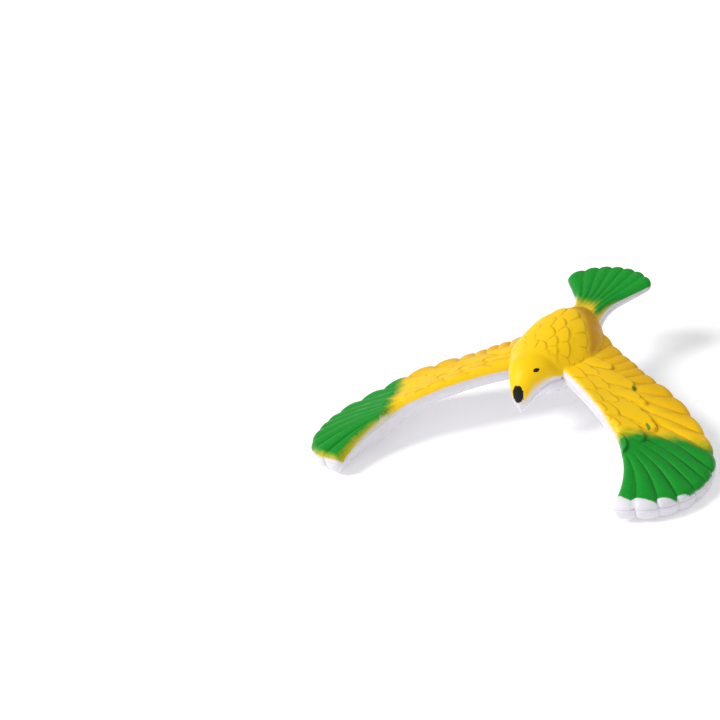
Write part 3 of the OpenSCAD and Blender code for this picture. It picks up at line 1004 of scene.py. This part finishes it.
class Wiring:
    """Small helper that adds and joins nodes in one tree."""

    def __init__(self, tree: bpy.types.NodeTree) -> None:
        """Starts on an empty tree."""
        self.tree = tree
        tree.nodes.clear()

    def add(self, kind: str, **settings: object) -> bpy.types.Node:
        """Adds a node.

        Args:
            kind: The node's type.
            **settings: Properties to set on it.

        Returns:
            The node.
        """
        node = self.tree.nodes.new(kind)
        for name, value in settings.items():
            setattr(node, name, value)
        return node

    def join(self, source: bpy.types.NodeSocket, target: bpy.types.NodeSocket) -> None:
        """Links two sockets."""
        self.tree.links.new(source, target)

    def feed(self, target: bpy.types.NodeSocket, value: object) -> None:
        """Links a socket, or sets a plain value.

        Args:
            target: The input to feed.
            value: A socket or a value.
        """
        if isinstance(value, bpy.types.NodeSocket):
            self.join(value, target)
        else:
            target.default_value = value

    def maths(self, operation: str, a: object, b: object = 0.0) -> bpy.types.NodeSocket:
        """Adds a Math node.

        Args:
            operation: What it does.
            a: First socket or number.
            b: Second socket or number.

        Returns:
            The result.
        """
        node = self.add("ShaderNodeMath", operation=operation)
        self.feed(node.inputs[0], a)
        self.feed(node.inputs[1], b)
        return node.outputs[0]

    def ramp(
        self, value: object, low: float, high: float, start: float = 0.0, end: float = 1.0,
    ) -> bpy.types.NodeSocket:
        """Smooth step of a value between two limits.

        Args:
            value: The value's socket.
            low: Value at which the step starts.
            high: Value at which it ends.
            start: Result up to low.
            end: Result from high on.

        Returns:
            The result.
        """
        node = self.add("ShaderNodeMapRange", interpolation_type="SMOOTHSTEP")
        self.feed(node.inputs["Value"], value)
        node.inputs["From Min"].default_value = low
        node.inputs["From Max"].default_value = high
        node.inputs["To Min"].default_value = start
        node.inputs["To Max"].default_value = end
        return node.outputs["Result"]

    def blend(self, mask: object, first: object, second: object) -> bpy.types.NodeSocket:
        """Mixes two colours.

        Args:
            mask: 0 for the first colour, 1 for the second.
            first: Socket or colour.
            second: Socket or colour.

        Returns:
            The mixed colour.
        """
        node = self.add("ShaderNodeMix", data_type="RGBA")
        self.feed(node.inputs[0], mask)
        self.feed(node.inputs[6], first)
        self.feed(node.inputs[7], second)
        return node.outputs[2]

    def noise(self, place: bpy.types.NodeSocket, scale: float, detail: float = 3.0) -> bpy.types.NodeSocket:
        """Adds a noise texture.

        Args:
            place: Points in metres.
            scale: Lumps in a metre.
            detail: How many finer layers it has.

        Returns:
            The noise, from 0 to 1.
        """
        node = self.add("ShaderNodeTexNoise")
        self.join(place, node.inputs["Vector"])
        node.inputs["Scale"].default_value = scale
        node.inputs["Detail"].default_value = detail
        return node.outputs["Fac"]

    def mark(self, name: str) -> bpy.types.NodeSocket:
        """Reads one of the mesh's own marks."""
        return self.add("ShaderNodeAttribute", attribute_name=name).outputs["Fac"]


@dataclass(frozen=True)
class SurfaceGroups:
    """Effects that several finishes share."""

    def plastic_skin(self) -> bpy.types.NodeTree:
        """Moulded or sprayed skin: a fine grain, a slow waviness and specks of dust.

        Returns:
            A group with Grain and Waves inputs and Height, Sheen and Dust outputs.
        """
        group = bpy.data.node_groups.get("plastic_skin")
        if group is not None:
            return group
        group = bpy.data.node_groups.new("plastic_skin", "ShaderNodeTree")
        group_socket(group, "Grain", "NodeSocketFloat", False, 1.0)
        group_socket(group, "Waves", "NodeSocketFloat", False, 1.0)
        group_socket(group, "Height", "NodeSocketFloat", True)
        group_socket(group, "Sheen", "NodeSocketFloat", True)
        group_socket(group, "Dust", "NodeSocketFloat", True)
        w = Wiring(group)
        given, result = w.add("NodeGroupInput"), w.add("NodeGroupOutput")
        place = w.add("ShaderNodeTexCoord").outputs["Object"]
        grain = w.maths("MULTIPLY", w.noise(place, 5200.0, 2.0), given.outputs["Grain"])
        waves = w.maths("MULTIPLY", w.noise(place, 420.0, 2.0), given.outputs["Waves"])
        w.join(w.maths("ADD", grain, waves), result.inputs["Height"])
        w.join(w.ramp(w.noise(place, 160.0, 4.0), 0.3, 0.75), result.inputs["Sheen"])
        specks = w.ramp(w.noise(place, 2300.0, 1.0), 0.74, 0.8)
        patches = w.ramp(w.noise(place, 90.0, 2.0), 0.5, 0.7)
        w.join(w.maths("MULTIPLY", specks, patches), result.inputs["Dust"])
        return group


@dataclass(frozen=True)
class WhitePlastic:
    """Bare moulded plastic, a little lilac in the shade and marked by handling."""

    colour: tuple = (0.70, 0.68, 0.73, 1)
    worn: tuple = (0.58, 0.555, 0.58, 1)
    roughness: float = 0.3

    def base(self, w: Wiring, skin: bpy.types.Node) -> bpy.types.NodeSocket:
        """Colour of the bare plastic with its faint handling marks.

        Args:
            w: The material's wiring.
            skin: The material's plastic_skin group.

        Returns:
            The colour.
        """
        place = w.add("ShaderNodeTexCoord").outputs["Object"]
        marks = w.ramp(w.noise(place, 75.0, 6.0), 0.55, 0.85, 0.0, 0.35)
        marks = w.maths("MAXIMUM", marks, w.maths("MULTIPLY", skin.outputs["Dust"], 0.5))
        return w.blend(marks, self.colour, self.worn)

    def make(self) -> bpy.types.Material:
        """Builds the material.

        Returns:
            The lower shell's material.
        """
        material = bpy.data.materials.new("bare_white_plastic")
        material.use_nodes = True
        w = Wiring(material.node_tree)
        skin = w.add("ShaderNodeGroup", node_tree=SurfaceGroups().plastic_skin())
        skin.inputs["Grain"].default_value = 0.35
        skin.inputs["Waves"].default_value = 0.8
        shader = w.add("ShaderNodeBsdfPrincipled")
        w.join(self.base(w, skin), shader.inputs["Base Color"])
        gloss = w.ramp(skin.outputs["Sheen"], 0, 1, self.roughness - 0.04, self.roughness + 0.1)
        w.join(gloss, shader.inputs["Roughness"])
        shader.inputs["IOR"].default_value = 1.49
        shader.inputs["Specular IOR Level"].default_value = 0.4
        shader.inputs["Subsurface Weight"].default_value = 0.12
        shader.inputs["Subsurface Radius"].default_value = (0.0012, 0.001, 0.001)
        shader.inputs["Subsurface Scale"].default_value = 1.0
        bump = w.add("ShaderNodeBump")
        bump.inputs["Strength"].default_value = 0.25
        bump.inputs["Distance"].default_value = 0.00004
        w.join(skin.outputs["Height"], bump.inputs["Height"])
        w.join(bump.outputs["Normal"], shader.inputs["Normal"])
        w.join(shader.outputs["BSDF"], w.add("ShaderNodeOutputMaterial").inputs["Surface"])
        return material


@dataclass(frozen=True)
class SprayPaint:
    """Yellow and green spray coats over the white plastic, with the painted eyes and cere."""

    yellow: tuple = (0.93, 0.58, 0.0, 1)
    # Amber used as painted shade on the yellow: the shaded trailing feathers, the rump and the grooves.
    shade_amber: tuple = (0.56, 0.235, 0.0, 1)
    green: tuple = (0.0, 0.27, 0.014, 1)
    # Deep green used as painted shade in the green's grooves and as a faint uneven paint tone.
    deep_green: tuple = (0.0, 0.14, 0.01, 1)
    black: tuple = (0.008, 0.006, 0.007, 1)
    yellow_from: tuple = (0.3, 0.0, 1.0)
    green_from: tuple = (-0.25, 0.25, 1.0)
    left_eye: tuple = (5.83, -16.77, 32.54)
    right_eye: tuple = (-9.5, -12.6, 29.3)
    eye_half: tuple = (1.42, 0.85)
    cere: tuple = (0.2, -25.05, 25.0)
    cere_half: tuple = (2.5, 3.75)
    dot: tuple = (42.5, -4.2, 21.3)
    smear: tuple = (58.6, -25.0, 18.0)
    roughness: float = 0.45

    def facing(
        self, w: Wiring, normal: bpy.types.NodeSocket, toward: tuple, low: float, high: float,
    ) -> bpy.types.NodeSocket:
        """How well a coat sprayed from one side covers the surface.

        Args:
            w: The material's wiring.
            normal: The surface's normal.
            toward: Direction the spray comes from.
            low: Facing at which the coat starts.
            high: Facing from which it is full.

        Returns:
            0 where no spray lands, 1 where the coat is full.
        """
        dot = w.add("ShaderNodeVectorMath", operation="DOT_PRODUCT")
        w.join(normal, dot.inputs[0])
        dot.inputs[1].default_value = Vector(toward).normalized()
        return w.ramp(dot.outputs["Value"], low, high)

    def patch(
        self, w: Wiring, place: bpy.types.NodeSocket, centre: tuple, axes: list, ragged: object,
    ) -> bpy.types.NodeSocket:
        """Elliptical painted patch.

        Args:
            w: The material's wiring.
            place: Points in millimetres.
            centre: The patch's centre.
            axes: Two or three (direction, half size) pairs.
            ragged: Value added to the distance, for an uneven edge.

        Returns:
            1 inside the patch, 0 outside.
        """
        away = w.add("ShaderNodeVectorMath", operation="SUBTRACT")
        w.join(place, away.inputs[0])
        away.inputs[1].default_value = centre
        total: object = 0.0
        for direction, half in axes:
            dot = w.add("ShaderNodeVectorMath", operation="DOT_PRODUCT")
            w.join(away.outputs[0], dot.inputs[0])
            dot.inputs[1].default_value = Vector(direction).normalized() / half
            total = w.maths("ADD", total, w.maths("POWER", w.maths("ABSOLUTE", dot.outputs["Value"]), 2.0))
        edge = w.maths("ADD", w.maths("SQRT", total), ragged)
        return w.ramp(edge, 0.93, 1.05, 1.0, 0.0)

    def coats(
        self, w: Wiring, skin: bpy.types.Node, place: bpy.types.NodeSocket, fray: bpy.types.NodeSocket,
    ) -> tuple[bpy.types.NodeSocket, bpy.types.NodeSocket]:
        """Yellow and green coats over the bare plastic, with painted shade: amber on the trailing feathers,
        the rump and in the grooves, deep green in the green's grooves.

        Args:
            w: The material's wiring.
            skin: The material's plastic_skin group.
            place: Points in metres.
            fray: Fine unevenness of the coats' edges, in millimetres.

        Returns:
            The painted shell's colour and the green paint's colour with its painted groove shade.
        """
        normal = w.add("ShaderNodeNewGeometry").outputs["Normal"]
        broad = w.noise(place, 260.0, 4.0)
        drift = w.maths("MULTIPLY", w.maths("SUBTRACT", broad, 0.5), 4.0)

        white = WhitePlastic().base(w, skin)
        # Painted shade: the yellow turns amber in the grooves and where the shade mark lies on the trailing
        # feathers and rump.
        groove = w.maths("MULTIPLY", w.mark("groove"), w.ramp(broad, 0.2, 0.7, 0.55, 0.9))
        shade_amber = w.maths("MULTIPLY", w.mark("shade"), w.ramp(broad, 0.2, 0.8, 0.7, 0.95))
        yellow = w.blend(w.maths("MAXIMUM", shade_amber, groove), self.yellow, self.shade_amber)
        # Painted shade in the green's grooves, plus a faint uneven deep-green tone from broad noise.
        valley_shade_and_tone = w.maths("MAXIMUM", groove, w.ramp(broad, 0.4, 0.9, 0.0, 0.22))
        green = w.blend(valley_shade_and_tone, self.green, self.deep_green)

        bare = w.maths("ADD", w.mark("bare_mm"), w.maths("MULTIPLY", fray, 0.45))
        covered = w.maths("SUBTRACT", 1.0, w.ramp(bare, -0.3, 0.4))
        spread = w.maths("ADD", w.maths("ADD", w.mark("green_mm"), drift), fray)
        green_part = w.ramp(spread, -5.5, 2.2)
        both_sides = w.add("ShaderNodeMix", data_type="FLOAT")
        w.join(green_part, both_sides.inputs[0])
        w.join(self.facing(w, normal, self.yellow_from, -0.04, 0.46), both_sides.inputs[2])
        w.join(self.facing(w, normal, self.green_from, -0.3, 0.12), both_sides.inputs[3])
        side = w.maths("ADD", both_sides.outputs[0], w.maths("MULTIPLY", fray, 0.08))
        side = w.maths("MAXIMUM", side, w.mark("wrap"))
        hollow = w.maths("MINIMUM", w.maths("MULTIPLY", w.mark("groove"), 2.5), 1.0)
        coat = w.maths("MULTIPLY", w.maths("MAXIMUM", side, hollow), covered)
        return w.blend(coat, white, w.blend(green_part, yellow, green)), green

    def black_patches(
        self, w: Wiring, own: bpy.types.NodeSocket, fray: bpy.types.NodeSocket,
    ) -> bpy.types.NodeSocket:
        """Eyes and cere, painted black.

        Args:
            w: The material's wiring.
            own: Points in millimetres, in the shapes' own frame.
            fray: Fine unevenness of the patches' edges.

        Returns:
            1 on the patches, 0 elsewhere.
        """
        ragged = w.maths("MULTIPLY", fray, 0.2)
        torn = w.maths("MULTIPLY", fray, 0.32)
        eyes = []
        for side, centre in ((1, self.left_eye), (-1, self.right_eye)):
            along = Vector((0.59 * side, 0.80, 0.05)).normalized()
            upward = Vector((-0.36 * side, 0.62, 0.69))
            upward = (upward - upward.dot(along) * along).normalized()
            axes = [(along, self.eye_half[0]), (upward, self.eye_half[1]), (along.cross(upward), 2.5)]
            eyes.append(self.patch(w, own, centre, axes, ragged))
        across, brow = Vector((1, 0, 0)), Vector((0, 0.3, 1)).normalized()
        axes = [(across, self.cere_half[0]), (brow, self.cere_half[1]), (brow.cross(across), 6.0)]
        cere = self.patch(w, own, self.cere, axes, torn)
        return w.maths("MAXIMUM", w.maths("MAXIMUM", *eyes), cere)

    def stray_green(
        self, w: Wiring, own: bpy.types.NodeSocket, fray: bpy.types.NodeSocket,
    ) -> bpy.types.NodeSocket:
        """Green dot and smear that landed on the left wing's yellow.

        Args:
            w: The material's wiring.
            own: Points in millimetres, in the shapes' own frame.
            fray: Fine unevenness of the spots' edges.

        Returns:
            Cover of the stray paint.
        """
        ball = [((1, 0, 0), 1.0), ((0, 1, 0), 1.0), ((0, 0, 1), 2.5)]
        dot = self.patch(w, own, self.dot, ball, w.maths("MULTIPLY", fray, 0.6))
        streak = [((0.7, -0.6, 0), 1.7), ((0.6, 0.7, 0), 0.7), ((0, 0, 1), 2.5)]
        smear = self.patch(w, own, self.smear, streak, w.maths("MULTIPLY", fray, 0.8))
        return w.maths("MULTIPLY", w.maths("MAXIMUM", dot, smear), 0.85)

    def make(self, shift: Vector) -> bpy.types.Material:
        """Builds the material.

        Args:
            shift: Move in millimetres from the shapes' own frame to the shared frame.

        Returns:
            The painted upper shell's material.
        """
        material = bpy.data.materials.new("spray_painted_plastic")
        material.use_nodes = True
        w = Wiring(material.node_tree)
        skin = w.add("ShaderNodeGroup", node_tree=SurfaceGroups().plastic_skin())
        skin.inputs["Grain"].default_value = 1.0
        skin.inputs["Waves"].default_value = 1.0
        place = w.add("ShaderNodeTexCoord").outputs["Object"]
        fray = w.maths("MULTIPLY", w.maths("SUBTRACT", w.noise(place, 1400.0, 4.0), 0.5), 1.6)

        millimetres = w.add("ShaderNodeVectorMath", operation="SCALE")
        w.join(place, millimetres.inputs[0])
        millimetres.inputs["Scale"].default_value = 1 / MM
        own = w.add("ShaderNodeVectorMath", operation="SUBTRACT")
        w.join(millimetres.outputs[0], own.inputs[0])
        own.inputs[1].default_value = shift
        colour, green = self.coats(w, skin, place, fray)
        colour = w.blend(self.stray_green(w, own.outputs[0], fray), colour, green)
        colour = w.blend(self.black_patches(w, own.outputs[0], fray), colour, self.black)

        shader = w.add("ShaderNodeBsdfPrincipled")
        w.join(colour, shader.inputs["Base Color"])
        gloss = w.ramp(skin.outputs["Sheen"], 0, 1, self.roughness - 0.05, self.roughness + 0.08)
        w.join(gloss, shader.inputs["Roughness"])
        shader.inputs["IOR"].default_value = 1.4
        shader.inputs["Specular IOR Level"].default_value = 0.3
        bump = w.add("ShaderNodeBump")
        bump.inputs["Strength"].default_value = 0.3
        bump.inputs["Distance"].default_value = 0.00004
        w.join(skin.outputs["Height"], bump.inputs["Height"])
        w.join(bump.outputs["Normal"], shader.inputs["Normal"])
        w.join(shader.outputs["BSDF"], w.add("ShaderNodeOutputMaterial").inputs["Surface"])
        return material


@dataclass(frozen=True)
class SlugSteel:
    """Plain cut steel of the hidden weights."""

    colour: tuple = (0.42, 0.43, 0.45, 1)
    dull: tuple = (0.25, 0.24, 0.24, 1)

    def make(self) -> bpy.types.Material:
        """Builds the material.

        Returns:
            The weights' material.
        """
        material = bpy.data.materials.new("slug_steel")
        material.use_nodes = True
        w = Wiring(material.node_tree)
        place = w.add("ShaderNodeTexCoord").outputs["Object"]
        shader = w.add("ShaderNodeBsdfPrincipled")
        w.join(w.blend(w.noise(place, 600.0, 5.0), self.colour, self.dull), shader.inputs["Base Color"])
        shader.inputs["Metallic"].default_value = 1.0
        w.join(w.ramp(w.noise(place, 900.0, 3.0), 0.3, 0.7, 0.32, 0.5), shader.inputs["Roughness"])
        w.join(shader.outputs["BSDF"], w.add("ShaderNodeOutputMaterial").inputs["Surface"])
        return material


# ---------------------------------------------------------------- pieces


@dataclass
class Bird:
    """The whole bird: both shells, built to stand where the CAD shells are."""

    mesh: ShellMesh = field(default_factory=ShellMesh)

    def shift(self, lower: Array) -> Vector:
        """Move that puts the shapes' own frame on the shared frame.

        Args:
            lower: The lower shell's vertices in millimetres.

        Returns:
            The move in millimetres.
        """
        low, high = (np.array(corner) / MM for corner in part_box("lower_shell"))
        return Vector((0.0, float((low[1] + high[1] - lower[:, 1].min() - lower[:, 1].max()) / 2),
                       float(low[2] - lower[:, 2].min())))

    def place(
        self, name: str, points: Array, faces: list, marks: dict[str, Array], shift: Vector,
    ) -> bpy.types.Object:
        """Makes the object of one shell.

        Args:
            name: The object's name.
            points: Vertices in millimetres.
            faces: Faces as tuples of vertex numbers.
            marks: Values at the vertices that the materials read.
            shift: Move to the shared frame, in millimetres.

        Returns:
            The new object.
        """
        data = bpy.data.meshes.new(name)
        corners = [tuple(int(i) for i in face) for face in faces]
        data.from_pydata(((points + np.array(shift)) * MM).tolist(), [], corners)
        for key, values in marks.items():
            data.attributes.new(key, "FLOAT", "POINT").data.foreach_set("value", values.astype(np.float32))
        work = bmesh.new()
        work.from_mesh(data)
        bmesh.ops.recalc_face_normals(work, faces=work.faces)
        for face in work.faces:
            face.smooth = True
        open_edges = sum(1 for e in work.edges if len(e.link_faces) != 2)
        work.to_mesh(data)
        work.free()
        piece = bpy.data.objects.new(name, data)
        bpy.context.collection.objects.link(piece)
        LOG.info("%s: %d vertices, %d faces, %d open edges",
                 name, len(data.vertices), len(data.polygons), open_edges)
        return piece

    def build(self) -> None:
        """Builds both shells and dresses the weights."""
        parts = {skin: self.mesh.shell(skin) for skin in Skin}
        shift = self.shift(parts[Skin.LOWER][0])
        finishes = {Skin.UPPER: SprayPaint().make(shift), Skin.LOWER: WhitePlastic().make()}
        names = {Skin.UPPER: ("painted_upper_shell", "upper_shell", "painted_shell"),
                 Skin.LOWER: ("white_lower_shell", "lower_shell", "white_shell")}
        for skin, (points, faces, marks) in parts.items():
            name, node, slot = names[skin]
            piece = self.place(name, points, faces, marks, shift)
            piece.data.materials.append(finishes[skin])
            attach(piece, "root")
            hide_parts(node)
        steel = SlugSteel().make()
        for node in ("left_wing_weight", "right_wing_weight"):
            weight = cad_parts[node]
            weight.data.materials.clear()
            weight.data.materials.append(steel)
            LOG.info("%s: CAD mesh with steel finish", node)


@dataclass(frozen=True)
class Studio:
    """Pale floor, soft lights and the camera."""

    azimuth: float = 38.02
    elevation: float = 26.30
    roll: float = -11.62
    lens: float = 113.65
    eye: tuple = (0.45685, -0.70727, 0.45849)
    floor: tuple = (0.93, 0.93, 0.935, 1)

    def build_floor(self) -> None:
        """Plain floor under the bird, on the lowest point of its box."""
        work = bmesh.new()
        bmesh.ops.create_grid(work, x_segments=8, y_segments=8, size=6.0)
        data = bpy.data.meshes.new("floor")
        work.to_mesh(data)
        work.free()
        floor = bpy.data.objects.new("floor", data)
        floor.location.z = CAD_BOX[0][2] - 0.00005
        bpy.context.collection.objects.link(floor)
        material = bpy.data.materials.new("pale_floor")
        material.use_nodes = True
        w = Wiring(material.node_tree)
        shader = w.add("ShaderNodeBsdfPrincipled")
        shader.inputs["Base Color"].default_value = self.floor
        shader.inputs["Roughness"].default_value = 0.85
        shader.inputs["Emission Color"].default_value = (1, 1, 1, 1)
        shader.inputs["Emission Strength"].default_value = 0.22
        w.join(shader.outputs["BSDF"], w.add("ShaderNodeOutputMaterial").inputs["Surface"])
        data.materials.append(material)

    def sun(self, name: str, toward: tuple, spread: float, power: float) -> None:
        """Adds one soft distant light.

        Args:
            name: The light's name.
            toward: Direction in which the light lies.
            spread: Angle in degrees over which it is spread.
            power: Its strength.
        """
        data = bpy.data.lights.new(name, "SUN")
        data.angle, data.energy = math.radians(spread), power
        lamp = bpy.data.objects.new(name, data)
        lamp.rotation_euler = (-Vector(toward)).to_track_quat("-Z", "Y").to_euler()
        bpy.context.collection.objects.link(lamp)

    def build(self) -> None:
        """Builds the floor, lights, sky and camera."""
        self.build_floor()
        self.sun("key", (-0.66, -0.5, 0.82), 28.0, 2.5)
        self.sun("fill", (1.0, -0.7, 0.8), 60.0, 0.35)
        world = bpy.data.worlds.new("studio")
        world.use_nodes = True
        world.node_tree.nodes["Background"].inputs["Color"].default_value = (1, 1, 1, 1)
        world.node_tree.nodes["Background"].inputs["Strength"].default_value = 0.46
        bpy.context.scene.world = world
        bpy.context.scene.view_settings.view_transform = "Standard"
        data = bpy.data.cameras.new("camera")
        data.lens, data.sensor_width = self.lens, 36.0
        data.clip_start, data.clip_end = 0.01, 20.0
        camera = bpy.data.objects.new("camera", data)
        az, el, roll = (math.radians(a) for a in (self.azimuth, self.elevation, self.roll))
        ahead = Vector((-math.sin(az) * math.cos(el), math.cos(az) * math.cos(el), -math.sin(el)))
        right = Vector((math.cos(az), math.sin(az), 0))
        up = right.cross(ahead)
        right, up = right * math.cos(roll) + up * math.sin(roll), up * math.cos(roll) - right * math.sin(roll)
        camera.matrix_world = Matrix.Translation(self.eye) @ Matrix((right, up, -ahead)).transposed().to_4x4()
        bpy.context.collection.objects.link(camera)
        bpy.context.scene.camera = camera


def main() -> None:
    """Builds the studio and the bird."""
    logging.basicConfig(level=logging.INFO, format="%(name)s: %(message)s")
    Studio().build()
    Bird().build()
    bpy.context.view_layer.update()


if __name__ == "__main__":
    main()
